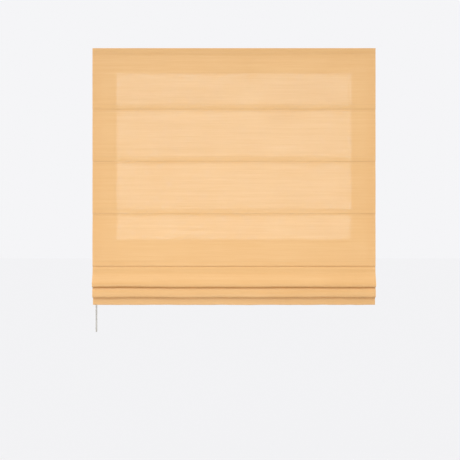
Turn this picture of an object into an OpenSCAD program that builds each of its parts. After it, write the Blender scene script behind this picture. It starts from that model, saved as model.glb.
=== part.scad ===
// Roman blind, part raised: a flat cloth face on a headrail, its lower part drawn up in pleats.
// Origin: middle of the centre bracket's two screw holes, on the plane the brackets screw up to.
// +X runs to the right, the cloth faces -Y, +Z is up. Millimetres.
// Depths written s are counted back from the middle of the cloth's thickness.

/* [Cloth] */
// Width of the cloth
cloth_w = 1200; // [900:10:1800]
// Thickness of the cloth
cloth_t = 1; // [0.8:0.1:1.2]
// Drop from the cloth's top edge to the first rod
first_drop = 258; // [200:1:320]
// Height between one rod and the next
rod_pitch = 222; // [160:1:280]
// Drop of the front pleat below the last rod line
pleat_drop = 89; // [75:1:120]
// How much lower the second pleat hangs than the front one
second_step = 44; // [40:1:60]
// How much lower the hem hangs than the second pleat
hem_step = 32; // [30:1:44]
// How far the front pleat swells out before the face
pleat_swell = 10.5; // [8:0.5:14]
// Width of the side hems, which the head tapes stop at
side_hem = 40; // [20:1:60]

/* [Rods and pockets] */
// Diameter of a rod
rod_d = 4; // [3:0.5:5]
// Distance from the cloth's side edge to a rod's end
rod_inset = 10; // [8:1:30]
// Height between the gathered rods
stack_step = 12; // [11:0.5:16]
// Thickness of the pocket tape
pocket_t = 0.8; // [0.6:0.1:1]
// Height of a pocket above its rod
pocket_up = 21; // [17:1:30]
// Height of the hem bar
bar_h = 22; // [16:1:24]
// Thickness of the hem bar
bar_t = 3; // [2:0.5:4]

/* [Headrail] */
// Depth of the headrail
rail_d = 44; // [40:1:56]
// Height of the headrail's box
rail_h = 28; // [27:1:36]
// Wall of the headrail
rail_wall = 1.4; // [1.2:0.1:2]
// Gap between the mounting plane and the headrail's box
rail_drop = 6; // [6:0.5:9]
// Height of the head tapes
tape_h = 25; // [20:1:26]
// Distance from the cloth's side edge to an outer bracket's middle
bracket_inset = 180; // [170:10:260]
// Distance between a bracket's two screw holes
screw_gap = 14; // [12:1:20]
// Diameter of a screw hole
screw_d = 4.5; // [4:0.5:5.5]

/* [Lift and drive] */
// Distance from the cloth's side edge to an outer lift cord
cord_inset = 100; // [80:10:140]
// Diameter of a lift cord
cord_d = 1.4; // [1:0.2:1.8]
// Width across the flats of the drive shaft
shaft_w = 5; // [4:0.5:5]
// Diameter of a spool's core
core_d = 13; // [12.5:0.5:14]
// Length of a spool's core
core_l = 46; // [36:1:56]
// Diameter of a chain bead
bead_d = 4.5; // [4:0.1:4.6]
// Distance between chain beads
bead_pitch = 6; // [5.8:0.1:6.2]
// Beads along each straight run of the chain
run_beads = 197; // [120:1:240]

/* [Hidden] */
$fn = 48;

// Cloth and rod heights
half = cloth_t / 2;
top_gap = 2;
z_top = -top_gap;
z_crease = z_top - first_drop - 3 * rod_pitch;
z_front = z_crease - pleat_drop;
z_second = z_front - second_step;
z_hem = z_second - hem_step;
function rod_z(i) = i < 5 ? z_top - first_drop - (i - 1) * rod_pitch : z_crease - (i - 4) * stack_step;

// Cloth and rod depths
hook_t = 1.5;
loop_t = 2;
face_y = -rail_d / 2 - hook_t - loop_t - half;
rod_r = rod_d / 2;
rod_clear = 0.7;
lean = rod_clear - 0.05;
pocket_mid = rod_r + rod_clear + pocket_t / 2;
pocket_out = rod_r + rod_clear + pocket_t;
fold_r = rod_r + rod_clear - half;
pocket_gap = 0.2;
groove = [1.1, 1.5, 1.8, 3];
crease_low = 2.5;
crease_s = groove[3];
s_5 = 6.2;
s_6 = s_5 + 2 * pocket_out + pocket_gap;
function rod_s(i) = i < 5 ? half + groove[i - 1] + rod_clear + rod_r : (i == 5 ? s_5 : s_6);
tape_s = half + pocket_t / 2;
cord_s = s_6 - 0.2;
bracket_gap = cloth_w / 2 - bracket_inset;
cord_gap = cloth_w / 2 - cord_inset;
rod_l = cloth_w - 2 * rod_inset;
pocket_short = 6;
pocket_l = rod_l - 2 * pocket_short;
leg_l = 16;
lap_low = 20;
lap_high = 34;
tip_r = rod_r + 0.55;
tip_l = 8;
tip_bore = 6;

// Hem
bar_clear = 0.3;
seam_gap = 0.1;
hem_r = half + bar_clear + bar_t / 2;
bar_s = s_6 - 3.1;
hem_s = bar_s - hem_r;
bar_inset = 20;
bar_l = cloth_w - 2 * bar_inset;
plug_l = 6;

// Headrail
rail_y = rail_d / 2;
rail_top = -rail_drop;
rail_bot = rail_top - rail_h;
lip = 10;
flange_t = 1.2;
flange_top = -1.8;
web_y = 10;
flange_out = 6;
cap_l = 8;
cover_t = 2;
box_l = 16;
rail_x0 = -cloth_w / 2 + cover_t + box_l;
rail_x1 = cloth_w / 2 - cap_l;
end_over = 1;
end_under = 2;
end_wall = 1.6;
plug_in = 20;
plug_gap = 0.4;
tape_z = rail_top - 1;

// Bracket
plate_t = 1.5;
bracket_w = 32;
leg_gap = 0.3;
foot_in = 5.2;
foot_z = flange_top - flange_t;

// Drive
axis_y = 7;
axis_z = rail_top - rail_h / 2;
core_r = core_d / 2;
flange_r = 9.5;
side_t = 1.5;
journal_r = 4.8;
run_gap = 0.1;
journal_l = 3.4;
plate_gap = 0.4;
cradle_t = 2.5;
base_t = 1.8;
bore_w = shaft_w + 0.2;
hub_r = 5;

// Chain
bead_r = bead_d / 2;
string_r = 0.8;
pockets = 8;
wheel_pitch_r = pockets * bead_pitch / (2 * PI);
wheel_r = wheel_pitch_r + 2;
chain_clear = 0.35;
groove_r = bead_r + chain_clear;
wheel_w = 9;
chain_x = -cloth_w / 2 + cover_t + 7;
run_l = run_beads * bead_pitch;

// Colours
cloth_c = [0.93, 0.75, 0.53];
tape_c = [0.9, 0.84, 0.74];
white_c = [0.93, 0.93, 0.91];
steel_c = [0.72, 0.73, 0.74];
glass_c = [0.88, 0.87, 0.8];

// Points of a smooth line through p, with n steps between one point and the next
function bend(a, b, c, d, t) =
    0.5 * (2 * b + (c - a) * t + (2 * a - 5 * b + 4 * c - d) * t * t + (3 * b - a - 3 * c + d) * t * t * t);
function smooth(p, n) = concat(
    [for (i = [0:len(p) - 2]) for (k = [0:n - 1])
        bend(p[max(i - 1, 0)], p[i], p[i + 1], p[min(i + 2, len(p) - 1)], k / n)],
    [p[len(p) - 1]]
);
// Points of an arc about c from angle a to angle b
function arc(c, r, a, b, n) = [for (k = [0:n]) c + r * [cos(a + (b - a) * k / n), sin(a + (b - a) * k / n)]];
function unit(v) = v / norm(v);
function heading(p, i) = unit(p[min(i + 1, len(p) - 1)] - p[max(i - 1, 0)]);
function side(p, i, d) = p[i] + d * [-heading(p, i)[1], heading(p, i)[0]];

// A flat strip of thickness t that follows p
module ribbon(p, t) {
    polygon(concat(
        [for (i = [0:len(p) - 1]) side(p, i, t / 2)],
        [for (i = [len(p) - 1:-1:0]) side(p, i, -t / 2)]
    ));
}

// Draws a depth-height outline along X, centred
module along_x(l) {
    translate([0, face_y, 0])
        rotate([90, 0, 90])
            linear_extrude(height = l, center = true)
                children();
}

// A box from one corner to the opposite one
module box(a, b) {
    translate(a)
        cube(b - a);
}

// A round bar along X from x0 to x1
module x_bar(x0, x1, y, z, r) {
    translate([x0, y, z])
        rotate([0, 90, 0])
            cylinder(h = x1 - x0, r = r);
}

// A square bar along X from x0 to x1 on the drive axis
module x_square(x0, x1, w) {
    box([x0, axis_y - w / 2, axis_z - w / 2], [x1, axis_y + w / 2, axis_z + w / 2]);
}

// A round bar from point a to point b
module bar_between(a, b, r) {
    v = b - a;
    translate(a)
        rotate([0, acos(v[2] / norm(v)), atan2(v[1], v[0])])
            cylinder(h = norm(v), r = r);
}

// The face bellies a little over each rod line, then comes slowly forward again below it
function dip(i) = [
    [0, rod_z(i) + 3],
    [groove[i - 1] * 0.12, rod_z(i) + 1],
    [groove[i - 1] * 0.5, rod_z(i) - 0.3],
    [groove[i - 1], rod_z(i) - 1.3],
    [groove[i - 1], rod_z(i) - 2.6],
    [groove[i - 1] * 0.95, rod_z(i) - 11],
    [groove[i - 1] * 0.6, rod_z(i) - 35],
    [groove[i - 1] * 0.25, rod_z(i) - 65],
    [0, rod_z(i) - 95]
];
crease_line = [
    [0, z_crease + 3],
    [0.25, z_crease + 0.8],
    [crease_s * 0.4, z_crease - 0.7],
    [crease_s, z_crease - 1.6],
    [crease_s, z_crease - crease_low]
];

module face_panel() {
    line = concat([[0, z_top]], dip(1), dip(2), dip(3), crease_line);
    color(cloth_c)
        along_x(cloth_w)
            ribbon(line, cloth_t);
}

// Front pleat: out of the crease, upright, swelling forward low down, and back up to the fifth rod
front_line = [
    [crease_s, z_crease - crease_low - seam_gap],
    [crease_s, z_crease - 4],
    [crease_s - 0.5, z_crease - 6.5],
    [crease_s - 1.05, z_crease - 9.5],
    [crease_s - 1.5, z_crease - 12.5],
    [crease_s - 1.9, z_crease - pleat_drop * 0.24],
    [crease_s - 2.8, z_crease - pleat_drop * 0.34],
    [-pleat_swell * 0.22, z_crease - pleat_drop * 0.47],
    [-pleat_swell * 0.55, z_crease - pleat_drop * 0.61],
    [-pleat_swell * 0.86, z_crease - pleat_drop * 0.755],
    [-pleat_swell, z_crease - pleat_drop * 0.865],
    [-pleat_swell * 0.96, z_crease - pleat_drop * 0.935],
    [-pleat_swell * 0.72, z_front + 2],
    [-pleat_swell * 0.32, z_front + half],
    [s_5 - fold_r - 2.8, z_front + 3],
    [s_5 - fold_r - 0.7, z_front + 9.5],
    [s_5 - fold_r, z_front + lap_low],
    [s_5 - fold_r, z_front + lap_high],
    [s_5 - fold_r, rod_z(5) - pocket_out - 9]
];
// Second pleat: from the fifth rod down, forward under the first pleat, and up to the sixth rod
second_line = [
    [s_5 + fold_r, rod_z(5) - pocket_out - 9],
    [s_5 + fold_r, (rod_z(5) + z_front) / 2],
    [s_5 + fold_r - 0.2, z_front + 21],
    [s_5 + fold_r - 1.6, z_front + 11],
    [s_5 + fold_r - 4, z_front + 3.5],
    [s_5 + fold_r - 7.4, z_front - 2.5],
    [s_5 + fold_r - 10.4, z_front - 8],
    [s_5 + fold_r - 12.4, z_front - 16],
    [s_5 + fold_r - 13.1, z_second + 19],
    [s_5 + fold_r - 13, z_second + 11],
    [s_5 + fold_r - 12, z_second + 4.5],
    [s_5 + fold_r - 9, z_second + 0.6],
    [s_5 + fold_r - 5, z_second + 1.2],
    [s_6 - fold_r - 3.6, z_second + 6],
    [s_6 - fold_r - 1, z_second + 14],
    [s_6 - fold_r, z_second + 25],
    [s_6 - fold_r, z_front],
    [s_6 - fold_r, rod_z(6) - pocket_out - 9]
];
fold_5 = arc([s_5, rod_z(5) - rod_r - rod_clear - half - fold_r], fold_r, 180, 0, 8);
fold_6 = arc([s_6, rod_z(6) - rod_r - rod_clear - half - fold_r], fold_r, 180, 0, 8);
// Hem: down from the sixth rod, forward under the second pleat, round the bar, its edge sewn down behind
hem_fall = [
    [s_6 + fold_r, rod_z(6) - leg_l],
    [s_6 + 1.2, z_front],
    [s_6 - 0.8, z_second + 17],
    [s_6 - 2, z_second + 9.5],
    [s_6 - 4, z_second + 2],
    [hem_s + 0.2, z_second - 3],
    [hem_s, z_second - 11]
];
hem_turn = arc([bar_s, z_hem + half + hem_r], hem_r, 180, 360, 8);
hem_edge = [
    [bar_s + hem_r, z_second - 2],
    [bar_s + 1.65, z_second + 6],
    [bar_s + 3.35, z_second + 14]
];
hem_line = concat(hem_fall, hem_turn, hem_edge);

module fold_stack() {
    line = concat(smooth(front_line, 4), fold_5, smooth(second_line, 4), fold_6, hem_line);
    color(cloth_c)
        along_x(cloth_w)
            ribbon(line, cloth_t);
}

// A pocket tape over a rod on the face's back, sewn flat above and below the rod
module face_pocket(i) {
    s = rod_s(i) + pocket_mid;
    z = rod_z(i);
    low = tape_s + groove[i - 1] + 0.02;
    line = [
        [tape_s, z + pocket_up], [tape_s, z + 15], [s, z + 2.5], [s, z - 2.5],
        [low, z - 9], [low, z - 11]
    ];
    color(tape_c)
        along_x(pocket_l)
            ribbon(line, pocket_t);
}

// The pocket tape at the crease
module crease_pocket() {
    s = rod_s(4) + pocket_mid;
    line = [
        [tape_s, z_crease + pocket_up], [tape_s, z_crease + 13], [s, z_crease + 2.5],
        [s, z_crease - 2.5], [crease_s + 0.3, z_crease - 7.5]
    ];
    color(tape_c)
        along_x(pocket_l)
            ribbon(line, pocket_t);
}

// A pocket tape over a gathered rod, with its two legs sewn down the fold
module fold_pocket(i) {
    s = rod_s(i);
    z = rod_z(i);
    line = concat(
        [[s - pocket_mid, z - leg_l]],
        arc([s, z], pocket_mid, 180, 0, 12),
        [[s + pocket_mid, z - leg_l]]
    );
    color(tape_c)
        along_x(pocket_l)
            ribbon(line, pocket_t);
}

module pocket(i) {
    if (i < 4)
        face_pocket(i);
    else if (i == 4)
        crease_pocket();
    else
        fold_pocket(i);
}

// A rod leans on its tape: backward on the face, upward in the stack
function rod_y(i) = face_y + rod_s(i) + (i < 5 ? lean : 0);
function rod_h(i) = rod_z(i) + (i < 5 ? 0 : lean);

module rod(i) {
    color(glass_c)
        x_bar(-rod_l / 2, rod_l / 2, rod_y(i), rod_h(i), rod_r);
}

module rod_tip(i, sign) {
    mirror([sign < 0 ? 1 : 0, 0, 0])
        difference() {
            x_bar(rod_l / 2 - tip_bore, rod_l / 2 - tip_bore + tip_l, rod_y(i), rod_h(i), tip_r);
            x_bar(rod_l / 2 - tip_bore - 1, rod_l / 2 + 0.1, rod_y(i), rod_h(i), rod_r + 0.05);
        }
}

module tips(first, last) {
    color(white_c)
        for (i = [first:last])
            for (sign = [-1, 1])
                rod_tip(i, sign);
}

// A moulded clip: a plate sewn to the tape, and a ring that the lift cord runs through
clip_w = 9;
clip_t = 0.8;
ring_r = 3;
ring_h = 3;
ring_bore = cord_d / 2 + 0.8;

module clip(x, s, z) {
    translate([x, face_y, z])
        difference() {
            union() {
                box([-clip_w / 2, s, -2.5], [clip_w / 2, s + clip_t, 2.5]);
                box([-1.6, s, -1], [1.6, cord_s - ring_bore, 1]);
                translate([0, cord_s, -ring_h / 2])
                    cylinder(h = ring_h, r = ring_r);
            }
            translate([0, cord_s, -ring_h])
                cylinder(h = 2 * ring_h, r = ring_bore);
        }
}

module clips(i) {
    drop = i < 5 ? 0 : 2.5;
    color(white_c)
        for (k = [-1:1])
            clip(k * cord_gap, rod_s(i) + pocket_out, rod_z(i) - drop);
}

// A saddle on the lowest rod's pocket that the end of the lift cord is set in
anchor_r = 3;
anchor_top = 6.9;
anchor_bore = 2.3;

module cord_anchors() {
    color(white_c)
        for (k = [-1:1])
            difference() {
                translate([k * cord_gap, face_y + cord_s, rod_z(6) + 1])
                    cylinder(h = anchor_top - 1, r = anchor_r);
                x_bar(-cloth_w / 2, cloth_w / 2, face_y + s_6, rod_z(6), pocket_out + 0.02);
                translate([k * cord_gap, face_y + cord_s, rod_z(6) + anchor_top - anchor_bore])
                    cylinder(h = anchor_bore + 1, r = cord_d / 2 + 0.05);
            }
}

module hem_bar() {
    y = face_y + bar_s;
    z = z_hem + half + hem_r;
    color(steel_c)
        box([-bar_l / 2, y - bar_t / 2, z], [bar_l / 2, y + bar_t / 2, z + bar_h]);
}

module hem_bar_plugs() {
    y = face_y + bar_s;
    z = z_hem + half + hem_r;
    color(white_c)
        for (sign = [-1, 1])
            mirror([sign < 0 ? 1 : 0, 0, 0])
                union() {
                    box([bar_l / 2, y - bar_t / 2, z], [bar_l / 2 + plug_l - 2, y + bar_t / 2, z + bar_h]);
                    box([bar_l / 2, y - bar_t / 2, z + 2], [bar_l / 2 + plug_l, y + bar_t / 2, z + bar_h - 2]);
                }
}

// Headrail: a box open below between two lips, with two hooked flanges on top
module rail_half() {
    translate([0, rail_top - rail_wall])
        square([rail_y, rail_wall]);
    translate([rail_y - rail_wall, rail_bot])
        square([rail_wall, rail_h]);
    translate([rail_y - lip, rail_bot])
        square([lip, rail_wall]);
    translate([web_y, rail_top - rail_wall])
        square([rail_wall, foot_z - rail_top + rail_wall + flange_t]);
    translate([web_y, foot_z])
        square([flange_out, flange_t]);
}

module headrail() {
    color(white_c)
        translate([rail_x0, 0, 0])
            rotate([90, 0, 90])
                linear_extrude(height = rail_x1 - rail_x0)
                    union() {
                        rail_half();
                        mirror([1, 0])
                            rail_half();
                    }
}

// Clip bracket: screwed up through its plate, with two feet that the rail's flanges hook over
module bracket(x) {
    leg = web_y + flange_out + leg_gap;
    color(steel_c)
        translate([x, 0, 0])
            difference() {
                union() {
                    box([-bracket_w / 2, -leg - plate_t, -plate_t], [bracket_w / 2, leg + plate_t, 0]);
                    for (sign = [-1, 1])
                        mirror([0, sign < 0 ? 1 : 0, 0])
                            union() {
                                box([-bracket_w / 2, leg, foot_z - plate_t], [bracket_w / 2, leg + plate_t, 0]);
                                box(
                                    [-bracket_w / 2, leg + plate_t - foot_in, foot_z - plate_t],
                                    [bracket_w / 2, leg + plate_t, foot_z]
                                );
                            }
                }
                for (sign = [-1, 1])
                    translate([sign * screw_gap / 2, 0, -2 * plate_t])
                        cylinder(h = 3 * plate_t, r = screw_d / 2);
            }
}

module hook_tape() {
    l = cloth_w / 2 - side_hem;
    color(white_c)
        box([-l, -rail_y - hook_t, tape_z - tape_h], [l, -rail_y, tape_z]);
}

module loop_tape() {
    l = cloth_w / 2 - side_hem;
    color(tape_c)
        box([-l, -rail_y - hook_t - loop_t, tape_z - tape_h], [l, -rail_y - hook_t, tape_z]);
}

// A hollow plug that fits inside the rail's end
module rail_plug(x0, x1) {
    y = rail_y - rail_wall - plug_gap;
    z0 = rail_bot + rail_wall + plug_gap;
    z1 = rail_top - rail_wall - plug_gap;
    difference() {
        box([x0, -y, z0], [x1, y, z1]);
        box([x0 - 1, -y + end_wall, z0 + end_wall], [x1 + 1, y - end_wall, z1 - end_wall]);
    }
}

module end_cap() {
    y = rail_y - rail_wall - plug_gap - 0.2;
    web_x = rail_x1 - plug_in + 4;
    color(white_c)
        difference() {
            union() {
                box(
                    [rail_x1, -rail_y, rail_bot - end_under],
                    [cloth_w / 2, rail_y, rail_top + end_over]
                );
                rail_plug(rail_x1 - plug_in, rail_x1);
                box(
                    [web_x, -y, rail_bot + rail_wall + plug_gap + 0.2],
                    [web_x + 3, y, rail_top - rail_wall - plug_gap - 0.2]
                );
            }
            x_bar(web_x - 1, web_x + 4, axis_y, axis_z, hub_r + run_gap);
        }
}

module idler_bush() {
    color(white_c)
        difference() {
            x_bar(rail_x1 - plug_in + 1, rail_x1 - 3, axis_y, axis_z, hub_r);
            x_square(rail_x1 - plug_in, rail_x1 - 2, bore_w);
        }
}

module control_housing() {
    x0 = rail_x0 - box_l;
    in_y = rail_y - end_wall;
    color(white_c)
        difference() {
            union() {
                box([x0, -rail_y, rail_bot - end_under], [rail_x0, rail_y, rail_top + end_over]);
                rail_plug(rail_x0, rail_x0 + plug_in);
            }
            box(
                [x0 - 1, -in_y, rail_bot - end_under + end_wall],
                [rail_x0 - end_wall, in_y, rail_top + end_over - end_wall]
            );
            x_bar(rail_x0 - 4, rail_x0 + 1, axis_y, axis_z, hub_r + run_gap);
            box(
                [chain_x - groove_r - 0.5, axis_y - wheel_pitch_r - groove_r - 0.5, rail_bot - end_under - 1],
                [chain_x + groove_r + 0.5, axis_y + wheel_pitch_r + groove_r + 0.5, rail_bot]
            );
        }
}

stub_r = 3;

module control_cover() {
    x0 = -cloth_w / 2;
    color(white_c)
        union() {
            box([x0, -rail_y, rail_bot - end_under], [x0 + cover_t, rail_y, rail_top + end_over]);
            difference() {
                x_bar(x0 + cover_t, x0 + cover_t + 1.6, axis_y, axis_z, stub_r + 1.8);
                x_bar(x0 + cover_t, x0 + cover_t + 2, axis_y, axis_z, stub_r + run_gap);
            }
        }
}

// Wheel that the chain runs over, with a hub towards the rail and a stub in the cover
module chain_wheel() {
    color(white_c)
        translate([chain_x, axis_y, axis_z])
            rotate([0, 90, 0])
                difference() {
                    union() {
                        translate([0, 0, -wheel_w / 2])
                            cylinder(h = wheel_w, r = wheel_r);
                        cylinder(h = rail_x0 + 4 - chain_x, r = hub_r);
                        translate([0, 0, -cover_t - 4.7])
                            cylinder(h = 5, r = stub_r);
                    }
                    rotate_extrude()
                        union() {
                            translate([wheel_pitch_r, 0])
                                circle(r = groove_r);
                            translate([wheel_pitch_r, -groove_r])
                                square([wheel_r, 2 * groove_r]);
                        }
                    for (k = [0:pockets - 1])
                        rotate([0, 0, k * 360 / pockets])
                            translate([wheel_pitch_r - 0.4, 0, 0])
                                sphere(r = bead_r + 0.2);
                    translate([-bore_w / 2, -bore_w / 2, -2])
                        cube([bore_w, bore_w, rail_x0 + 10 - chain_x]);
                }
}

module drive_shaft() {
    color(steel_c)
        x_square(chain_x - 1.8, rail_x1 - 4, shaft_w);
}

module spool(x) {
    end = core_l / 2 + side_t;
    color(white_c)
        difference() {
            union() {
                x_bar(x - end, x + end, axis_y, axis_z, core_r);
                x_bar(x - end, x - end + side_t, axis_y, axis_z, flange_r);
                x_bar(x + end - side_t, x + end, axis_y, axis_z, flange_r);
                x_bar(x - end - journal_l, x + end + journal_l, axis_y, axis_z, journal_r);
            }
            x_square(x - end - journal_l - 1, x + end + journal_l + 1, bore_w);
        }
}

// Cradle that stands on the rail's lips and carries a spool's two journals
module cradle(x) {
    end = core_l / 2 + side_t + plate_gap;
    z0 = rail_bot + rail_wall;
    y = rail_y - rail_wall - plug_gap;
    color(white_c)
        difference() {
            union() {
                box([x - end - cradle_t, -y, z0], [x + end + cradle_t, y, z0 + base_t]);
                for (sign = [-1, 1])
                    translate([x + sign * (end + cradle_t / 2), 0, 0])
                        box(
                            [-cradle_t / 2, axis_y - 11, z0],
                            [cradle_t / 2, axis_y + 11, rail_top - rail_wall - 1]
                        );
            }
            x_bar(x - end - 2 * cradle_t, x + end + 2 * cradle_t, axis_y, axis_z, journal_r + run_gap);
            box([x - end + 1, -3.4, z0 - 1], [x + end - 1, 2.4, z0 + base_t + 1]);
        }
}

// Lift cord from its spool, through the clips, to its anchor
cord_top = [0, axis_y - core_r - cord_d / 2 - 0.15, axis_z];
cord_turn = [0, face_y + cord_s, rod_z(1)];
cord_end = [0, face_y + cord_s, rod_z(6) + anchor_top - anchor_bore + 0.1];

module lift_cord(x) {
    color(tape_c)
        translate([x, 0, 0])
            union() {
                bar_between(cord_top, cord_turn, cord_d / 2);
                translate(cord_turn)
                    sphere(r = cord_d / 2 + 0.05);
                bar_between(cord_end, cord_turn, cord_d / 2);
            }
}

// Outline of one bead and the string below it, k beads down a run
function bead_at(k) = [for (a = [69, 28, -28, -69]) [bead_r * cos(a), bead_r * sin(a) - k * bead_pitch]];

// One straight run of beads on their string
module bead_run(y) {
    edge = [for (k = [0:run_beads]) each bead_at(k)];
    translate([chain_x, axis_y + y, axis_z])
        rotate_extrude()
            polygon(concat([[0, bead_at(0)[0][1]]], edge, [[0, bead_at(run_beads)[3][1]]]));
}

// A half turn of beads on their string
module bead_turn(z, up) {
    translate([chain_x, axis_y, z])
        rotate([up ? 0 : 180, 0, 0])
            rotate([0, 90, 0])
                rotate([0, 0, 90])
                    union() {
                        rotate_extrude(angle = 180)
                            translate([wheel_pitch_r, 0])
                                circle(r = string_r);
                        for (k = [1:pockets / 2 - 1])
                            rotate([0, 0, k * 360 / pockets])
                                translate([wheel_pitch_r, 0, 0])
                                    sphere(r = bead_r);
                    }
}

module bead_chain() {
    color(steel_c)
        union() {
            bead_run(-wheel_pitch_r);
            bead_run(wheel_pitch_r);
            bead_turn(axis_z, true);
            bead_turn(axis_z - run_l, false);
        }
}

join_bead = 110;

module chain_connector() {
    translate([chain_x, axis_y + wheel_pitch_r, axis_z - (join_bead + 0.5) * bead_pitch])
        color(white_c)
            difference() {
                cylinder(h = 2.2 * bead_pitch, r = bead_r + 0.9, center = true);
                cylinder(h = 3 * bead_pitch, r = bead_r + 0.1, center = true);
            }
}

headrail();
bracket(-bracket_gap);  // bracket_left
bracket(0);  // bracket_centre
bracket(bracket_gap);  // bracket_right
end_cap();
control_housing();
control_cover();
hook_tape();
loop_tape();
cradle(-cord_gap);  // cradle_1
cradle(0);  // cradle_2
cradle(cord_gap);  // cradle_3
bead_chain();
chain_connector();
face_panel();
lift_cord(-cord_gap);  // lift_cord_1
lift_cord(0);  // lift_cord_2
lift_cord(cord_gap);  // lift_cord_3
drive_shaft();
spool(-cord_gap);  // spool_1
spool(0);  // spool_2
spool(cord_gap);  // spool_3
chain_wheel();
idler_bush();
rod(1);  // rod_1
rod(2);  // rod_2
rod(3);  // rod_3
rod(4);  // rod_4
rod(5);  // rod_5
rod(6);  // rod_6
pocket(1);  // pocket_1
pocket(2);  // pocket_2
pocket(3);  // pocket_3
pocket(4);  // pocket_4
pocket(5);  // pocket_5
pocket(6);  // pocket_6
clips(1);  // clips_1
clips(2);  // clips_2
clips(3);  // clips_3
clips(4);  // clips_4
clips(5);  // clips_5
cord_anchors();
tips(1, 1);  // tips_1
tips(2, 2);  // tips_2
tips(3, 3);  // tips_3
tips(4, 6);  // tips_stack
fold_stack();
hem_bar();
hem_bar_plugs();
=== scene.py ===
# %% [markdown]
# # A roman blind, half raised
# The blind is a flat cloth face that hangs from a headrail. Thin rods are sewn across its back,
# and three lift cords draw the lowest rods up, so that the lower cloth hangs in two pleats and a
# hem. The CAD model gives every rigid piece its shape. This lesson gives those pieces their
# finishes, and makes the soft pieces, which are cloth, tape, cord and bead chain, as what they
# are.

# %% Load the frame and keep the CAD box
import math

import bpy
import numpy as np
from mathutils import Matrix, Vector, noise


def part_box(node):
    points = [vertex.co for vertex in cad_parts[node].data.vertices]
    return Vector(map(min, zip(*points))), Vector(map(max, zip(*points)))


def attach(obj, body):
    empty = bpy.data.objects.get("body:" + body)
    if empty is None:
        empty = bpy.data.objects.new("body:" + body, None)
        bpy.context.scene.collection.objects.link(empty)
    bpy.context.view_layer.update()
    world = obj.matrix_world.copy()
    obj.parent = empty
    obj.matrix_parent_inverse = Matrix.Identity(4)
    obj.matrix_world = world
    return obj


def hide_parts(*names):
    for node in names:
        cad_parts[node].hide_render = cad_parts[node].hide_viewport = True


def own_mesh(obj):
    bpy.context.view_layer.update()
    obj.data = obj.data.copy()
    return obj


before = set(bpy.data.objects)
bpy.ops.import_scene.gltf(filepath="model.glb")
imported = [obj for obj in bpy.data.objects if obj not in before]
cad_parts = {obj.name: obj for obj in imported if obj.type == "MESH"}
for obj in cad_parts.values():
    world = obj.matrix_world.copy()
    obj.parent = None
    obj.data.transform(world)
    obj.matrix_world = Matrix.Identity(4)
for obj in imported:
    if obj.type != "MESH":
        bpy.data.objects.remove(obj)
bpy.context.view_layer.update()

# %% [markdown]
# ## Camera
# The photograph looks straight at the face from about two and a half metres, at the height of the
# third rod. A camera could be aimed at the blind's middle, but that would tilt it and make the
# sides lean. A level camera keeps them upright, so nothing is tilted and nothing is shifted.

# %% Camera
CAMERA_PLACE = (-0.017, -2.426, -0.773)
camera_data = bpy.data.cameras.new("camera")
camera_data.sensor_width = 36
camera_data.lens = 44.3
camera = bpy.data.objects.new("camera", camera_data)
camera.location = CAMERA_PLACE
camera.rotation_euler = (math.radians(90), 0, 0)
bpy.context.collection.objects.link(camera)
bpy.context.scene.camera = camera
print("camera at", tuple(round(v, 3) for v in camera.location))

# %% [markdown]
# ## Writing a finish
# A finish is a small sum: a thread here, a slub there, a stitch on top. Written as nodes it is
# hard to read, so one class wraps a socket and lets Python's own signs add the Math nodes, and
# one method adds any other node with its settings first and its sockets after.


# %% Sockets that can be added and multiplied
class Wire:
    """One output socket of a finish. Sums and products of wires add Math nodes."""

    def __init__(self, finish, socket):
        self.finish, self.socket = finish, socket

    def math(self, operation, *values):
        return self.finish.node("ShaderNodeMath", {"operation": operation}, dict(enumerate(values)))

    def __add__(self, other):
        return self.math("ADD", self, other)

    def __sub__(self, other):
        return self.math("SUBTRACT", self, other)

    def __rsub__(self, other):
        return self.math("SUBTRACT", other, self)

    def __mul__(self, other):
        return self.math("MULTIPLY", self, other)

    def __truediv__(self, other):
        return self.math("DIVIDE", self, other)

    def __rtruediv__(self, other):
        return self.math("DIVIDE", other, self)

    def __lt__(self, other):
        return self.math("LESS_THAN", self, other)

    def __gt__(self, other):
        return self.math("GREATER_THAN", self, other)

    __radd__, __rmul__ = __add__, __mul__

    def sine(self):
        return self.math("SINE", self)

    def size(self):
        return self.math("ABSOLUTE", self)

    def part(self):
        return self.math("FRACT", self)

    def most(self, other):
        return self.math("MAXIMUM", self, other)

    def ramp(self, low, high):
        """A soft step from 0 at low to 1 at high."""
        values = {"Value": self, "From Min": low, "From Max": high}
        return self.finish.node("ShaderNodeMapRange", {"interpolation_type": "SMOOTHSTEP"}, values)


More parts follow.
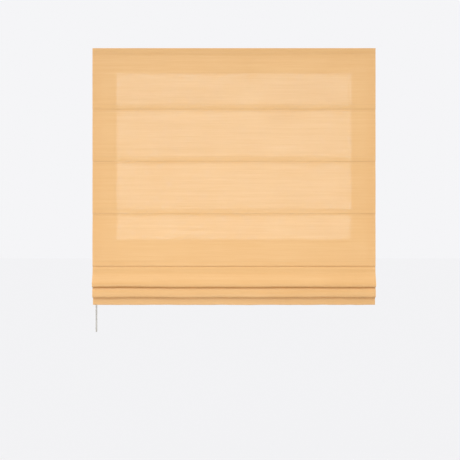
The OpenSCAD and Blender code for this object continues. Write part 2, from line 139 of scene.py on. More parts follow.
# %% Finishes
class Finish:
    """A node material, written from its pattern up to its shader."""

    def __init__(self, name, owner=None):
        self.material = owner or bpy.data.materials.new(name)
        self.material.use_nodes = True
        self.tree = self.material.node_tree
        self.tree.nodes.clear()

    def node(self, kind, settings=None, sockets=None, out=0):
        made = self.tree.nodes.new(kind)
        for name, value in (settings or {}).items():
            setattr(made, name, value)
        for key, value in (sockets or {}).items():
            named = [s for s in made.inputs if key in (s.identifier, s.name)]
            socket = made.inputs[key] if isinstance(key, int) else named[0]
            if isinstance(value, Wire):
                self.tree.links.new(value.socket, socket)
            else:
                socket.default_value = value
        return Wire(self, made.outputs[out]) if len(made.outputs) else None

    def place(self, kind="Object"):
        """The three coordinates of the surface point, as separate wires, and the vector."""
        if kind == "Object":
            vector = self.node("ShaderNodeTexCoord", out="Object")
        else:
            vector = self.node("ShaderNodeUVMap", {"uv_map": kind})
        outs = self.node("ShaderNodeSeparateXYZ", None, {0: vector}).socket.node.outputs
        return [Wire(self, outs[i]) for i in range(3)] + [vector]

    def at(self, x, y, z=0.0):
        return self.node("ShaderNodeCombineXYZ", None, {0: x, 1: y, 2: z})

    def grain(self, vector, scale, detail=2.0, rough=0.5):
        values = {"Vector": vector, "Scale": scale, "Detail": detail, "Roughness": rough}
        return self.node("ShaderNodeTexNoise", None, values)

    def colour(self, factor, low, high):
        values = {"Factor_Float": factor, "A_Color": low, "B_Color": high}
        return self.node("ShaderNodeMix", {"data_type": "RGBA"}, values, out=2)

    def bump(self, height, strength, distance):
        values = {"Height": height, "Strength": strength, "Distance": distance}
        return self.node("ShaderNodeBump", None, values)

    def seen(self):
        """1 for a ray that sees the surface, straight or mirrored, 0 for one that gathers light."""
        outs = self.node("ShaderNodeLightPath").socket.node.outputs
        straight, mirrored, through = [Wire(self, outs["Is " + kind + " Ray"])
                                       for kind in ("Camera", "Glossy", "Transmission")]
        return straight.most(mirrored).most(through)

    def done(self, shader, kind="ShaderNodeOutputMaterial"):
        self.node(kind, {"is_active_output": True}, {"Surface": shader})
        print("finish", self.material.name, "of", len(self.tree.nodes), "nodes")
        return self.material


# %% Colours
def srgb(red, green, blue):
    """A colour read off a screen, 0 to 255, as the linear numbers that a shader wants."""
    def linear(value):
        value /= 255
        return value / 12.92 if value <= 0.04045 else ((value + 0.055) / 1.055) ** 2.4

    return (linear(red), linear(green), linear(blue), 1.0)


# %% [markdown]
# ## The cloth's finish
# The cloth is a plain weave of uneven yarn, so fine level streaks run across it where a weft
# thread is thick or thin. It lets some light through, and that is why a part with daylight behind
# it looks paler. The paler part could be painted on, but it would then stay when the light goes.
# A Translucent shader mixed with the weave gives it by light alone. A sheet with a thickness is
# crossed twice, so each side has a finish of its own: the back lets most of the light in, the
# front a tenth of it out. Each sheet carries a map called "cut", in metres across and along the
# flat cloth, so the weave follows every fold, and the stitch rows can be given by their place on
# the cut piece.

# %% Cloth finish
THREAD, STITCH = 0.9, 3.4
STITCH_LONG, STITCH_HALF = 0.74, 0.42
SIDE_HEM, SIDE_SEAM, HEM_STEP = 560.0, 562.5, 2.4
SHARE_FRONT, SHARE_BACK, SHARE_HEM = 0.095, 0.85, 0.3
CLOTH_DARK, CLOTH_LIGHT = srgb(232, 178, 109), srgb(244, 196, 133)
CLOTH_THROUGH, CLOTH_CLEAR = srgb(238, 218, 185), srgb(250, 248, 246)
CLOTH_THREAD = srgb(206, 158, 108)


def stitch_rows(finish, along, across, rows):
    """Rows of lockstitch: 1 on a stitch, at each place in rows, in millimetres along the cut."""
    dash = (across / STITCH).part() < STITCH_LONG
    total = None
    for row in rows:
        here = ((along - row).size() < STITCH_HALF) * dash
        total = here if total is None else total.most(here)
    return total


def cloth_finish(name, rows, through, share, hemmed=0.0):
    """The weave of one side. It lets a share of light through, less by hemmed in its side hems."""
    finish = Finish(name)
    u, v, _, _ = finish.place("cut")
    across, along = u * 1000.0, v * 1000.0
    yarn = finish.grain(finish.at(u * 7.0, v * 620.0), 1.0, 2.0, 0.6)
    band = finish.grain(finish.at(u * 1.6, v * 90.0, 3.0), 1.0, 3.0, 0.55)
    cloud = finish.grain(finish.at(u * 2.0, v * 2.0, 7.0), 2.2, 2.0)
    warp = (across * (math.pi / THREAD)).sine()
    weft = (along * (math.pi / THREAD)).sine()
    weave = warp * weft
    tone = (yarn - 0.5) * 0.7 + (band - 0.5) * 0.55 + (cloud - 0.5) * 0.35 + weave * 0.05 + 0.5
    colour = finish.colour(tone.ramp(0.05, 0.95), CLOTH_DARK, CLOTH_LIGHT)
    stitches = stitch_rows(finish, along, across, rows)
    height = weave * 0.35 + yarn * 0.9
    passed = (yarn - 0.5) * (share * 0.35 + 0.03) + weave * (share * 0.04) + share
    if hemmed:
        double = across.size() > SIDE_HEM
        stitches = stitches.most(stitch_rows(finish, across.size(), along, [SIDE_SEAM]))
        height = height + double * HEM_STEP
        passed = passed - double * hemmed
    colour = finish.colour(stitches * 0.5, colour, CLOTH_THREAD)
    normal = finish.bump(height + stitches * 1.2, 0.35, 0.0004)
    values = {
        "Base Color": colour,
        "Roughness": yarn * 0.12 + 0.38,
        "Specular IOR Level": 0.75,
        "Normal": normal,
    }
    face = finish.node("ShaderNodeBsdfPrincipled", None, values)
    lit = finish.node("ShaderNodeBsdfTranslucent", None, {"Color": through, "Normal": normal})
    return finish.done(finish.node("ShaderNodeMixShader", None, {0: passed, 1: face, 2: lit}))


def cloth_pair(name, rows):
    """The finishes of a cloth's two sides. Only the back shows the side hems, sewn down on it."""
    return [cloth_finish(name, rows, CLOTH_THROUGH, SHARE_FRONT),
            cloth_finish(name + "_back", rows, CLOTH_CLEAR, SHARE_BACK, SHARE_HEM)]


# %% [markdown]
# ## Hanging a sheet
# A hung sheet has the same outline all the way across. A cloth simulation could drape it, but
# would not stop at the heights that are wanted. So it is drawn once from the side, as a line of
# depth and height, and carried across the width in columns. Small waves are then added where the
# cloth is free. Solidify gives it its thickness last, which keeps the two faces the same distance
# apart. Lines and places are in millimetres, and become metres where the mesh is made.

# %% Lines seen from the side
def smooth(points, steps):
    """Points of a smooth line through all the points."""
    p = [np.array(q, float) for q in points]
    made = []
    for i in range(len(p) - 1):
        a, b, c, d = p[max(i - 1, 0)], p[i], p[i + 1], p[min(i + 2, len(p) - 1)]
        for t in (k / steps for k in range(steps)):
            made.append(0.5 * (2 * b + (c - a) * t + (2 * a - 5 * b + 4 * c - d) * t * t
                               + (3 * b - a - 3 * c + d) * t ** 3))
    return made + [p[-1]]


def arc(centre, radius, start, stop, steps):
    """Points of a round line from one angle to another, in degrees."""
    turns = [math.radians(start + (stop - start) * k / steps) for k in range(steps + 1)]
    return [np.array(centre) + radius * np.array((math.cos(a), math.sin(a))) for a in turns]


def finer(points, longest):
    """The same line with points added, so that no step is longer than that many millimetres."""
    made = [np.array(points[0], float)]
    for b in points[1:]:
        a, b = made[-1], np.array(b, float)
        steps = max(1, math.ceil(np.linalg.norm(b - a) / longest))
        made += [a + (b - a) * k / steps for k in range(1, steps + 1)]
    return made


def travelled(line):
    """How far along the line each of its points is."""
    return np.cumsum([0.0] + [float(np.linalg.norm(b - a)) for a, b in zip(line, line[1:])])


# %% Sheets along a line
FACE_Y = -26.0
CLOTH_T, CLOTH_W, COLUMNS = 1.0, 1200, 150


def active(obj):
    """Selects one object alone and makes it the active one, for the operators."""
    bpy.ops.object.select_all(action="DESELECT")
    obj.select_set(True)
    bpy.context.view_layer.objects.active = obj


def hang_sheet(name, line, width, columns, thick, waves, materials):
    """A sheet that follows a line of (depth, height), in millimetres, across a width."""
    runs = travelled(line)
    xs = np.linspace(-width / 2, width / 2, columns + 1)
    places, cut = [], []
    for (s, z), run in zip(line, runs):
        for x in xs:
            ds, dz = waves(x, run, z) if waves else (0.0, 0.0)
            places.append((x / 1000, (FACE_Y + s + ds) / 1000, (z + dz) / 1000))
            cut.append((x / 1000, run / 1000))
    wide = columns + 1
    faces = [((r + 1) * wide + c, (r + 1) * wide + c + 1, r * wide + c + 1, r * wide + c)
             for r in range(len(line) - 1) for c in range(columns)]
    mesh = bpy.data.meshes.new(name)
    mesh.from_pydata(places, [], faces)
    layer = mesh.uv_layers.new(name="cut")
    corners = np.empty(len(mesh.loops), np.int32)
    mesh.loops.foreach_get("vertex_index", corners)
    layer.data.foreach_set("uv", np.array(cut, np.float32)[corners].ravel())
    sheet = bpy.data.objects.new(name, mesh)
    bpy.context.collection.objects.link(sheet)
    for material in materials:
        sheet.data.materials.append(material)
    active(sheet)
    bpy.ops.object.modifier_add(type="SOLIDIFY")
    sheet.modifiers[-1].thickness = thick / 1000
    sheet.modifiers[-1].offset = 0
    sheet.modifiers[-1].material_offset = len(materials) - 1
    bpy.ops.object.modifier_apply(modifier=sheet.modifiers[-1].name)
    bpy.ops.object.shade_smooth_by_angle(angle=math.radians(50))
    print(name, "cut", round(width), "x", round(runs[-1]), "mm,", len(sheet.data.polygons), "faces")
    return sheet, float(runs[-1]) / 1000


def wave(x, length, seed):
    """A slow level wave, from -1 to 1, that never repeats along the cloth."""
    return 1.5 * noise.noise(Vector((x / length, seed, 0.37)))


def held(value):
    """The value, kept between 0 and 1."""
    return min(1.0, max(0.0, value))


# %% [markdown]
# ## The face
# The face hangs flat from the head and dips back a little at each rod, most at the crease. A
# plane with painted lines could pass for it from the front, but not from the side, so the dips
# are part of the drawn line. Between the rods it is not quite flat, because cloth never is, so it
# waves by half a millimetre there.

# %% Face cloth
ROD_Z = (-260.0, -482.0, -704.0, -926.0, -938.0, -950.0)
GROOVE = (1.1, 1.5, 1.8, 3.0)
Z_TOP, Z_CREASE, Z_SEAM = -2.0, -926.0, -928.5
HEAD_ROWS, ROD_ROWS, CREASE_ROW = [4.0, 24.0], (-19.5, 10.0), 904.5


def dip(i):
    """The face at one rod: a lip above the rod's line, and a slow return to the flat below it."""
    g, z = GROOVE[i], ROD_Z[i]
    lip = [(0, z + 3), (0.12 * g, z + 1), (0.5 * g, z - 0.3), (g, z - 1.3), (g, z - 2.6)]
    return lip + [(0.95 * g, z - 11), (0.6 * g, z - 35), (0.25 * g, z - 65), (0, z - 95)]


face_line = [(0, Z_TOP)] + dip(0) + dip(1) + dip(2)
face_line += [(0, Z_CREASE + 3), (0.25, Z_CREASE + 0.8), (1.2, Z_CREASE - 0.7), (3, Z_CREASE - 1.6)]
face_line += [(3, Z_SEAM)]


def face_waves(x, run, z):
    """Half a millimetre of wave, only where the cloth is clear of the rods and of the head."""
    clear = min(abs(z - r) for r in ROD_Z[:4])
    free = held((clear - 26) / 50) * held((-z - 40) / 60)
    return -0.5 * free * (1 + wave(x, 160, z / 300)), 0.0


face_rows = HEAD_ROWS + [Z_TOP - z + d for z in ROD_Z[:3] for d in ROD_ROWS] + [CREASE_ROW]
face_cloth, face_long = hang_sheet("face_cloth", finer(face_line, 9), CLOTH_W, COLUMNS, CLOTH_T,
                                   face_waves, cloth_pair("face_cloth_weave", face_rows))
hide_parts("face_panel")

# %% [markdown]
# ## The pleats
# Below the crease the cloth swells forward and folds back up to the fifth rod, drops behind
# itself to a second pleat, goes up to the sixth rod and falls to the hem round its bar. A plane
# could be folded edge by edge, but a smooth line through a few points is easier to change and has
# no kinks. The bottoms of the pleats are soft folds, so they wander by a millimetre or two along
# the width; the hem, with a bar in it, by less.

# %% Fold cloth
Z_FRONT, Z_SECOND, Z_HEM = -1015.0, -1059.0, -1091.0
Z_FIFTH, Z_SIXTH = ROD_Z[4], ROD_Z[5]
SWELL, DROP = 10.5, 89.0
front_line = [
    (3, Z_CREASE - 2.6), (3, Z_CREASE - 4), (2.5, Z_CREASE - 6.5), (1.95, Z_CREASE - 9.5),
    (1.5, Z_CREASE - 12.5), (1.1, Z_CREASE - DROP * 0.24), (0.2, Z_CREASE - DROP * 0.34),
    (-SWELL * 0.22, Z_CREASE - DROP * 0.47), (-SWELL * 0.55, Z_CREASE - DROP * 0.61),
    (-SWELL * 0.86, Z_CREASE - DROP * 0.755), (-SWELL, Z_CREASE - DROP * 0.865),
    (-SWELL * 0.96, Z_CREASE - DROP * 0.935), (-SWELL * 0.72, Z_FRONT + 2),
    (-SWELL * 0.32, Z_FRONT + 0.5), (1.2, Z_FRONT + 3), (3.3, Z_FRONT + 9.5), (4, Z_FRONT + 20),
    (4, Z_FRONT + 34), (4, Z_FIFTH - 12.5),
]
second_line = [
    (8.4, Z_FIFTH - 12.5), (8.4, Z_SIXTH - 26.5), (8.2, Z_FRONT + 21), (6.8, Z_FRONT + 11),
    (4.4, Z_FRONT + 3.5), (1, Z_FRONT - 2.5), (-2, Z_FRONT - 8), (-4, Z_FRONT - 16),
    (-4.7, Z_SECOND + 19), (-4.6, Z_SECOND + 11), (-3.6, Z_SECOND + 4.5), (-0.6, Z_SECOND + 0.6),
    (3.4, Z_SECOND + 1.2), (7.6, Z_SECOND + 6), (10.2, Z_SECOND + 14), (11.2, Z_SECOND + 25),
    (11.2, Z_FRONT), (11.2, Z_SIXTH - 12.5),
]
hem_line = [
    (15.6, Z_SIXTH - 16), (14.6, Z_FRONT), (12.6, Z_SECOND + 17), (11.4, Z_SECOND + 9.5),
    (9.4, Z_SECOND + 2), (8.2, Z_SECOND - 3), (8, Z_SECOND - 11),
    *arc((10.3, Z_HEM + 2.8), 2.3, 180, 360, 8),
    (12.6, Z_SECOND - 2), (11.95, Z_SECOND + 6), (13.65, Z_SECOND + 14),
]
ROD_S, TURN = (6.2, 13.4), 2.2
fold_line = smooth(front_line, 4) + arc((ROD_S[0], Z_FIFTH - 5.4), TURN, 180, 0, 8)
fold_line += smooth(second_line, 4) + arc((ROD_S[1], Z_SIXTH - 5.4), TURN, 180, 0, 8) + hem_line
fold_line = finer([np.array(p, float) for p in fold_line], 8)


FRONT_RUN, SECOND_RUN, RIPPLE = 165, (180, 330), 44


def fold_waves(x, run, z):
    """Waves of the pleats and the hem, told apart by how far along the cut they are."""
    if run < FRONT_RUN:
        low, near = held((Z_CREASE - 19 - z) / 55), held((100 - run) / 25)
        return (-0.9 * low * near * (0.6 + wave(x, 210, 1.7)),
                low * (1.7 * wave(x, 230, 4.1) + 0.5 * wave(x, RIPPLE, 21.3)))
    if SECOND_RUN[0] < run < SECOND_RUN[1]:
        low = held((Z_FRONT - 3 - z) / 35)
        return 0.0, low * (1.5 * wave(x, 200, 8.3) + 0.6 * wave(x, RIPPLE, 27.9))
    return 0.0, -0.8 * held((Z_SECOND - 5 - z) / 22) * (1 + wave(x, RIPPLE, 33.1))


fold_end = travelled(fold_line)[-1]
fold_rows = [fold_end - 84.0, fold_end - 6.0]
fold_cloth, fold_long = hang_sheet("fold_cloth", fold_line, CLOTH_W, COLUMNS, CLOTH_T,
                                   fold_waves, cloth_pair("fold_cloth_weave", fold_rows))
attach(fold_cloth, "stack")
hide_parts("fold_stack")

# %% [markdown]
# ## Pocket tapes
# Each rod lies in a pocket of woven tape, sewn to the back of the cloth above and below the rod.
# The two gathered rods have their tape folded over them instead. The tapes could be joined to the
# cloth's mesh, but each has to move with its rod, so they are sheets of their own, narrower than
# the cloth and in a plain cream tape whose ribs run along it.

# %% Tape finish
TAPE_SHARE, RIB = 0.82, 1.1
TAPE_DARK, TAPE_LIGHT = srgb(222, 208, 184), srgb(240, 230, 210)
TAPE_THREAD, TAPE_CLEAR = srgb(206, 176, 136), srgb(250, 248, 244)


def tape_finish(name, rows):
    """A ribbed cream tape with rows of stitches."""
    finish = Finish(name)
    u, v, _, _ = finish.place("cut")
    across, along = u * 1000.0, v * 1000.0
    rib = ((along + across * 0.5) * (2 * math.pi / RIB)).sine()
    nub = finish.grain(finish.at(u * 300.0, v * 500.0), 1.0, 2.0)
    shade = finish.grain(finish.at(u * 4.0, v * 40.0), 1.0, 2.0)
    tone = rib * 0.2 + nub * 0.5 + shade * 0.5
    colour = finish.colour(tone.ramp(0.1, 0.9), TAPE_DARK, TAPE_LIGHT)
    stitches = stitch_rows(finish, along, across, rows)
    colour = finish.colour(stitches * 0.6, colour, TAPE_THREAD)
    values = {
        "Base Color": colour,
        "Roughness": nub * 0.15 + 0.75,
        "Specular IOR Level": 0.2,
        "Normal": finish.bump(rib * 0.5 + nub * 0.7 + stitches * 1.2, 0.4, 0.0004),
    }
    face = finish.node("ShaderNodeBsdfPrincipled", None, values)
    back = finish.node("ShaderNodeBsdfTranslucent", None, {"Color": TAPE_CLEAR})
    return finish.done(finish.node("ShaderNodeMixShader", None, {0: TAPE_SHARE, 1: face, 2: back}))


# %% Pockets
ROD_R, ROD_CLEAR, TAPE_T, TAPE_W = 2.0, 0.7, 0.8, 1168
POCKET_MID = ROD_R + ROD_CLEAR + TAPE_T / 2


def rod_depth(i):
    """How far behind the face the middle of a rod is."""
    return CLOTH_T / 2 + GROOVE[i] + ROD_CLEAR + ROD_R if i < 4 else ROD_S[i - 4]


def pocket_line(i):
    """A tape over its rod: sewn flat above and below it, or folded over a gathered rod."""
    s, z, flat = rod_depth(i) + POCKET_MID, ROD_Z[i], (CLOTH_T + TAPE_T) / 2
    if i < 3:
        return [(flat, z + 21), (flat, z + 15), (s, z + 2.5), (s, z - 2.5),
                (flat + GROOVE[i] + 0.02, z - 9), (flat + GROOVE[i] + 0.02, z - 11)]
    if i == 3:
        return [(flat, z + 21), (flat, z + 13), (s, z + 2.5), (s, z - 2.5), (3.3, z - 7.5)]
    s = rod_depth(i)
    return ([(s - POCKET_MID, z - 16)] + arc((s, z), POCKET_MID, 180, 0, 12)
            + [(s + POCKET_MID, z - 16)])


face_tape = tape_finish("face_tape", [2.5, 34.0])
fold_tape = tape_finish("fold_tape", [5.0, 37.0])
for i in range(6):
    line = finer([np.array(p, float) for p in pocket_line(i)], 4)
    tape, tape_long = hang_sheet(f"pocket_tape_{i + 1}", line, TAPE_W, 73, TAPE_T, None,
                                 [face_tape if i < 4 else fold_tape])
    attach(tape, f"rod_{i + 1}" if i < 3 else "stack")
    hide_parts(f"pocket_{i + 1}")

# %% [markdown]
# ## Head tapes
# The cloth hangs from the headrail by a strip of hook tape on the rail and a strip of loop tape
# sewn to the cloth. The hooks and loops could be copied by the thousand, but they are too small
# to see. So each strip is a cube drawn to the strip's size, with its edges bevelled as a cut
# tape's edges wear, and the pile is in its finish.


# %% Hook and loop tapes
def pile_finish(name, dark, light, tuft, depth):
    """A pile of tufts, tuft of them to a metre, each standing up by depth."""
    finish = Finish(name)
    _, _, _, vector = finish.place()
    tufts = finish.node("ShaderNodeTexVoronoi", None, {"Vector": vector, "Scale": tuft})
    fuzz = finish.grain(vector, tuft * 1.7, 3.0)
    colour = finish.colour((tufts * 0.6 + fuzz * 0.6).ramp(0.1, 0.9), dark, light)
    values = {
        "Base Color": colour,
        "Roughness": fuzz * 0.2 + 0.7,
        "Specular IOR Level": 0.25,
        "Normal": finish.bump(tufts + fuzz * 0.5, 0.7, depth),
    }
    return finish.done(finish.node("ShaderNodeBsdfPrincipled", None, values))


def head_tape(name, node, material):
    """A strip of the node's size with bevelled edges, in its place."""
    low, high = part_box(node)
    size, middle = Vector(high) - Vector(low), (Vector(high) + Vector(low)) / 2
    bpy.ops.object.select_all(action="DESELECT")
    bpy.ops.mesh.primitive_cube_add(size=1, location=middle)
    tape = bpy.context.object
    tape.name = name
    tape.scale = size
    bpy.ops.object.transform_apply(location=True, rotation=True, scale=True)
    bpy.ops.object.mode_set(mode="EDIT")
    bpy.ops.mesh.select_all(action="SELECT")
    bpy.ops.mesh.bevel(offset=0.0005, segments=2)
    bpy.ops.object.mode_set(mode="OBJECT")
    bpy.ops.object.shade_smooth_by_angle(angle=math.radians(40))
    tape.data.materials.append(material)
    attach(tape, "headrail")
    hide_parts(node)
    print(name, [round(v * 1000, 1) for v in size], "mm")


hook_pile = pile_finish("hook_pile", srgb(214, 214, 208), srgb(240, 240, 236), 700.0, 0.0006)
loop_pile = pile_finish("loop_pile", srgb(220, 206, 184), srgb(240, 230, 212), 1100.0, 0.0005)
head_tape("hook_strip", "hook_tape", hook_pile)
head_tape("loop_strip", "loop_tape", loop_pile)

# %% [markdown]
# ## Lift cords
# Three thin braided cords run from the spools in the headrail through the rings on the rods to
# the last rod. They are taut, so each is two straight lines that meet at the first ring. A curve
# with a round bevel could make them, but a tube of rings also carries a map in metres along the
# cord, which the braid needs. As the blind goes up they wind in; here they are made at one length.


# %% Tubes along a line
def tube(name, points, radius, sides, material):
    """A closed round tube along the points, with a map of turns across and metres along."""
    centres = [Vector(p) for p in points]
    places, cut, run = [], [], 0.0
    for k, c in enumerate(centres):
        run += (c - centres[k - 1]).length if k else 0.0
        ahead = (centres[min(k + 1, len(centres) - 1)] - centres[max(k - 1, 0)]).normalized()
        across = Vector((1, 0, 0))
        other = ahead.cross(across).normalized()
        for a in (2 * math.pi * j / sides for j in range(sides)):
            places.append(c + radius * (math.cos(a) * across + math.sin(a) * other))
            cut.append(run)
    last = (len(centres) - 1) * sides
    faces = [(k + j, k + (j + 1) % sides, k + sides + (j + 1) % sides, k + sides + j)
             for k in range(0, last, sides) for j in range(sides)]
    faces += [tuple(reversed(range(sides))), tuple(range(last, last + sides))]
    mesh = bpy.data.meshes.new(name)
    mesh.from_pydata(places, [], faces)
    layer = mesh.uv_layers.new(name="cut")
    for face in mesh.polygons:
        for n, loop in enumerate(face.loop_indices):
            v = mesh.loops[loop].vertex_index
            turn = (v % sides) / sides
            if len(face.vertices) == 4 and n in (1, 2) and turn == 0:
                turn = 1.0
            layer.data[loop].uv = (turn, cut[v])
    made = bpy.data.objects.new(name, mesh)
    bpy.context.collection.objects.link(made)
    active(made)
    bpy.ops.object.mode_set(mode="EDIT")
    bpy.ops.mesh.select_all(action="SELECT")
    bpy.ops.mesh.normals_make_consistent(inside=False)
    bpy.ops.object.mode_set(mode="OBJECT")
    bpy.ops.object.shade_smooth_by_angle(angle=math.radians(60))
    made.data.materials.append(material)
    return made


# %% Braid finish
CORD_DARK, CORD_LIGHT = srgb(222, 219, 208), srgb(247, 246, 240)


def braid_finish():
    """Strands that cross each other round the cord."""
    finish = Finish("braided_cord")
    u, v, _, _ = finish.place("cut")
    strands = (u * (6 * math.pi) + v * 2600.0).sine() * (u * (6 * math.pi) - v * 2600.0).sine()
    fuzz = finish.grain(finish.at(u * 8.0, v * 900.0), 1.0)
    tone = strands * 0.3 + fuzz * 0.6
    values = {
        "Base Color": finish.colour(tone.ramp(0.0, 0.8), CORD_DARK, CORD_LIGHT),
        "Roughness": fuzz * 0.2 + 0.55,
        "Normal": finish.bump(strands, 0.5, 0.0002),
    }
    return finish.done(finish.node("ShaderNodeBsdfPrincipled", None, values))


# %% Three lift cords
CORD_XS, CORD_Y, SPOOL_Y = (-500.0, 0.0, 500.0), -12.8, -0.35
CORD_TOP, CORD_END = -20.0, -945.3
cord_braid = braid_finish()
for k, x in enumerate(CORD_XS):
    bends = (x, SPOOL_Y, CORD_TOP), (x, CORD_Y, ROD_Z[0]), (x, CORD_Y, CORD_END)
    route = [tuple(p / 1000) for p in finer(bends, 20)]
    cord = tube(f"braided_cord_{k + 1}", route, 0.0007, 8, cord_braid)
    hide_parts(f"lift_cord_{k + 1}")
    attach(cord, "headrail")
    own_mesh(cord)

# %% [markdown]
# ## Bead chain
# The chain is an endless string of small nickel-plated balls over a wheel in the control housing.
# An array along a curve could place the balls, but would not keep their pitch, which has to fit
# the wheel. So one ball is made and copied to counted places, and the string itself is a thin
# tube. The half turn on the wheel is hidden in the housing, and is a piece of its own.


# %% Nickel finish
def metal_finish(name, dark, light, rough, scale):
    """Plated metal with soft clouds and fine scuffs."""
    finish = Finish(name)
    _, _, _, vector = finish.place()
    cloud = finish.grain(vector, scale, 3.0)
    scuff = finish.grain(vector, scale * 9, 2.0)
    values = {
        "Base Color": finish.colour(cloud.ramp(0.3, 0.7), dark, light),
        "Metallic": 1.0,
        "Roughness": cloud * 0.15 + scuff * 0.12 + rough,
        "Normal": finish.bump(scuff, 0.08, 0.0002),
    }
    return finish.done(finish.node("ShaderNodeBsdfPrincipled", None, values))


# %% Beads on a string
BEAD_D, STRING_R = 0.0045, 0.0008


def one_bead():
    """The points and faces of one ball, with few faces because it is repeated hundreds of times."""
    bpy.ops.object.select_all(action="DESELECT")
    bpy.ops.mesh.primitive_uv_sphere_add(segments=8, ring_count=6, radius=BEAD_D / 2)
    bead = bpy.context.object
    # The order of a new ball's points can differ from run to run, so they are sorted by place.
    spots = [tuple(round(c, 7) for c in v.co) for v in bead.data.vertices]
    order = sorted(range(len(spots)), key=lambda i: spots[i])
    rank = {old: new for new, old in enumerate(order)}
    faces = []
    for face in bead.data.polygons:
        ring = [rank[v] for v in face.vertices]
        first = ring.index(min(ring))
        faces.append(tuple(ring[first:] + ring[:first]))
    bpy.data.objects.remove(bead)
    return [Vector(spots[i]) for i in order], sorted(faces)


def bead_string(name, beads, string, material):
    """One mesh of balls at the given points, on a string along its own points."""
    places, faces = one_bead()
    all_places, all_faces = [], []
    for b in beads:
        start = len(all_places)
        all_places += [p + Vector(b) for p in places]
        all_faces += [tuple(start + v for v in f) for f in faces]
    thread = tube(name + "_thread", string, STRING_R, 6, material)
    start = len(all_places)
    all_places += [v.co.copy() for v in thread.data.vertices]
    all_faces += [tuple(start + v for v in f.vertices) for f in thread.data.polygons]
    bpy.data.objects.remove(thread)
    mesh = bpy.data.meshes.new(name)
    mesh.from_pydata(all_places, [], all_faces)
    made = bpy.data.objects.new(name, mesh)
    bpy.context.collection.objects.link(made)
    active(made)
    bpy.ops.object.shade_smooth_by_angle(angle=math.radians(80))
    made.data.materials.append(material)
    print(name, len(beads), "beads,", len(mesh.polygons), "faces")
    return made


# %% Chain loop
CHAIN_X, AXIS_Y, AXIS_Z, PITCH, RUN = -0.591, 0.007, -0.020, 0.006, 197
TURN_R = 8 * PITCH / (2 * math.pi)


def turn_points(z, start, stop, steps):
    """Points of a turn of the chain from one angle to another, in degrees."""
    turns = [math.radians(start + (stop - start) * k / steps) for k in range(steps + 1)]
    return [(CHAIN_X, AXIS_Y + TURN_R * math.cos(a), z + TURN_R * math.sin(a)) for a in turns]


nickel = metal_finish("nickel_beads", srgb(176, 172, 162), srgb(200, 197, 188), 0.18, 500.0)
z_low = AXIS_Z - RUN * PITCH
front_run = [(CHAIN_X, AXIS_Y - TURN_R, AXIS_Z - k * PITCH) for k in range(RUN + 1)]
rear_run = [(CHAIN_X, AXIS_Y + TURN_R, AXIS_Z - k * PITCH) for k in range(RUN, -1, -1)]
low_beads = turn_points(z_low, 180, 360, 4)[1:-1]
chain_path = front_run[:-1] + turn_points(z_low, 180, 360, 16) + rear_run[1:]
chain = bead_string("chain_loop", front_run + low_beads + rear_run, chain_path, nickel)
on_wheel = bead_string("chain_on_wheel", turn_points(AXIS_Z, 0, 180, 4)[1:-1],
                       turn_points(AXIS_Z, 0, 180, 16), nickel)
for piece in (chain, on_wheel):
    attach(piece, "headrail")
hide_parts("bead_chain")

# %% [markdown]
# ## Rigid pieces
# The rail, brackets, mouldings, rods and bar could be modelled again, but the CAD shapes are
# already right, so they only get the finish of their making: powder coat has a fine orange peel,
# zinc has spangle, mouldings have a faint grain, a rod has drawn streaks along it and the bar is
# brushed along its length.


# %% Finishes of the rigid pieces
def coat_finish(name, dark, light, rough, peel, depth):
    """A coat or moulding with a fine skin, peel bumps to a metre."""
    finish = Finish(name)
    _, _, _, vector = finish.place()
    skin = finish.grain(vector, peel, 2.0)
    cloud = finish.grain(vector, 14.0, 3.0)
    values = {
        "Base Color": finish.colour((cloud * 0.7 + skin * 0.3).ramp(0.2, 0.8), dark, light),
        "Roughness": skin * 0.12 + cloud * 0.1 + rough,
        "Normal": finish.bump(skin, 0.15, depth),
    }
    return finish.done(finish.node("ShaderNodeBsdfPrincipled", None, values))


def zinc_finish():
    """Zinc plate with small flakes of different shine."""
    finish = Finish("zinc_plate")
    _, _, _, vector = finish.place()
    values = {"Vector": vector, "Scale": 420.0}
    flake = finish.node("ShaderNodeTexVoronoi", None, values, out="Color")
    spangle = finish.node("ShaderNodeSeparateColor", None, {0: flake})
    fine = finish.grain(vector, 900.0)
    values = {
        "Base Color": finish.colour(spangle, srgb(189, 191, 195), srgb(204, 206, 209)),
        "Metallic": 1.0,
        "Roughness": spangle * 0.07 + fine * 0.1 + 0.27,
    }
    return finish.done(finish.node("ShaderNodeBsdfPrincipled", None, values))


def drawn_finish(name, dark, light, metal, rough):
    """Fine streaks along the piece, as drawing or brushing leaves."""
    finish = Finish(name)
    x, y, z, _ = finish.place()
    streak = finish.grain(finish.at(x * 6.0, y * 2500.0, z * 2500.0), 1.0, 3.0)
    values = {
        "Base Color": finish.colour(streak.ramp(0.25, 0.75), dark, light),
        "Metallic": metal,
        "Roughness": streak * 0.2 + rough,
        "Normal": finish.bump(streak, 0.12, 0.0002),
    }
    return finish.done(finish.node("ShaderNodeBsdfPrincipled", None, values))


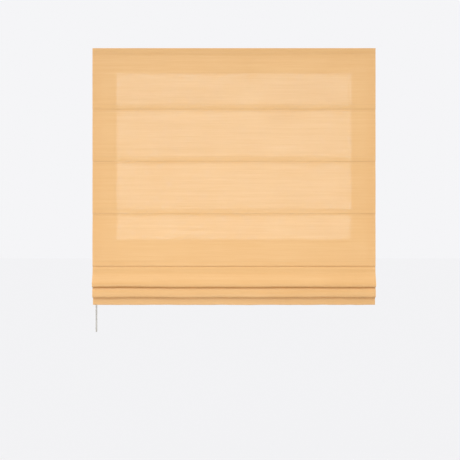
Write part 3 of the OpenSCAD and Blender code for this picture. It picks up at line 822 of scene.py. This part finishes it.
# %% The finishes by kind of piece
PEEL, GRAIN = (1400.0, 0.0002), (2600.0, 0.0001)
FINISHES = {
    "rail": coat_finish("powder_coat", srgb(236, 236, 232), srgb(243, 243, 240), 0.36, *PEEL),
    "bracket": zinc_finish(),
    "housing": coat_finish("housing_moulding", srgb(233, 233, 228), srgb(241, 241, 237), 0.32,
                           *GRAIN),
    "moulding": coat_finish("white_moulding", srgb(232, 232, 228), srgb(240, 240, 236), 0.3,
                            *GRAIN),
    "clip": coat_finish("clip_moulding", srgb(226, 228, 226), srgb(238, 239, 236), 0.22, *GRAIN),
    "rod": drawn_finish("drawn_fibre_rod", srgb(220, 216, 200), srgb(238, 235, 222), 0.0, 0.3),
    "bar": drawn_finish("brushed_bar", srgb(190, 192, 195), srgb(214, 215, 217), 1.0, 0.26),
    "chain": coat_finish("connector_moulding", srgb(216, 217, 213), srgb(230, 231, 228), 0.2,
                         *GRAIN),
}

# %% Give each CAD node its finish
WEARS = {
    "rail": ("headrail",),
    "bracket": ("bracket_left", "bracket_centre", "bracket_right"),
    "housing": ("control_housing", "control_cover", "end_cap"),
    "moulding": ("cradle_1", "cradle_2", "cradle_3", "spool_1", "spool_2", "spool_3", "chain_wheel",
                 "idler_bush", "tips_1", "tips_2", "tips_3", "tips_stack", "hem_bar_plugs"),
    "clip": ("clips_1", "clips_2", "clips_3", "clips_4", "clips_5", "cord_anchors"),
    "rod": ("rod_1", "rod_2", "rod_3", "rod_4", "rod_5", "rod_6"),
    "bar": ("hem_bar", "drive_shaft"),
    "chain": ("chain_connector",),
}
dressed = {}
for kind, names in WEARS.items():
    for name in names:
        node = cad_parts[name]
        node.data.materials.clear()
        node.data.materials.append(FINISHES[kind])
        dressed[name] = kind
bare = [n for n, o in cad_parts.items() if n not in dressed and not o.hide_render]
print(len(dressed), "nodes dressed, bare:", bare)

# %% [markdown]
# ## Light, floor and world
# Soft light comes from all round, from a wide sun before the blind and from a low lamp that
# reaches under the pleats. Daylight comes from a lamp behind, whose narrow beam lights one
# rectangle of the cloth's back. A picture could light the scene instead, but lamps can be set one
# at a time. The floor and the world show a plain paper colour to the camera, which leaves their
# light on the blind as it is.

# %% World
PAPER, FLOOR, FLOOR_Z, FLOOR_PAPER = srgb(245, 245, 247), srgb(200, 200, 202), -2.4, 0.94
WARM, COOL = (1, 0.99, 0.97), (0.3, 0.56, 1.0)
scene = bpy.context.scene
scene.view_settings.view_transform = "Standard"
scene.world = bpy.data.worlds.new("studio")
finish = Finish("studio", scene.world)
sky = finish.node("ShaderNodeBackground", None, {"Color": (1, 1, 1, 1), "Strength": 0.52})
paper = finish.node("ShaderNodeBackground", None, {"Color": PAPER})
shown = finish.node("ShaderNodeMixShader", None, {0: finish.seen(), 1: sky, 2: paper})
finish.done(shown, "ShaderNodeOutputWorld")


# %% Lamps
def lamp(name, place, look, size, power, colour, spread):
    """A rectangle of light that the camera doesn't see, with a beam of spread degrees."""
    data = bpy.data.lights.new(name, "AREA")
    data.shape = "RECTANGLE"
    data.size, data.size_y = size
    data.energy, data.color = power, colour
    data.spread = math.radians(spread)
    made = bpy.data.objects.new(name, data)
    made.location = place
    made.rotation_euler = (Vector(look) - Vector(place)).to_track_quat("-Z", "Y").to_euler()
    made.visible_camera = False
    bpy.context.collection.objects.link(made)
    print("lamp", name, power, "W")


def sunlight(name, way, strength, width):
    """A sun that shines along way, made soft by its width in degrees."""
    data = bpy.data.lights.new(name, "SUN")
    data.energy, data.angle, data.color = strength, math.radians(width), WARM
    made = bpy.data.objects.new(name, data)
    made.rotation_euler = Vector(way).to_track_quat("-Z", "Y").to_euler()
    bpy.context.collection.objects.link(made)
    print("lamp", name, strength)


sunlight("key", (0.3, 1.0, -1.44), 1.8, 50)
lamp("fill", (-0.4, -2.5, -2.2), (0, 0, -1.0), (2.6, 0.5), 8.5, WARM, 110)
sunlight("back", (0.1, -1.0, -0.35), 0.05, 60)
lamp("daylight", (0.0, 0.3, -0.4615), (0, 0, -0.4615), (0.994, 0.701), 4.9, COOL, 2.5)

# %% Floor
bpy.ops.object.select_all(action="DESELECT")
bpy.ops.mesh.primitive_plane_add(size=60, location=(0, 0, FLOOR_Z))
floor = bpy.context.object
floor.name = "floor"
finish = Finish("pale_floor")
ground = finish.node("ShaderNodeBsdfDiffuse", None, {"Color": FLOOR})
paper = finish.node("ShaderNodeEmission", None, {"Color": PAPER, "Strength": 1.0})
covered = finish.seen() * FLOOR_PAPER
shown = finish.node("ShaderNodeMixShader", None, {0: covered, 1: ground, 2: paper})
floor.data.materials.append(finish.done(shown))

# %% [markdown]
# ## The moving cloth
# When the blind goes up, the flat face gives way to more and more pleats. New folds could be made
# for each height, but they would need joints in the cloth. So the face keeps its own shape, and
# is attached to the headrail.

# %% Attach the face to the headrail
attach(face_cloth, "headrail")
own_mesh(face_cloth)
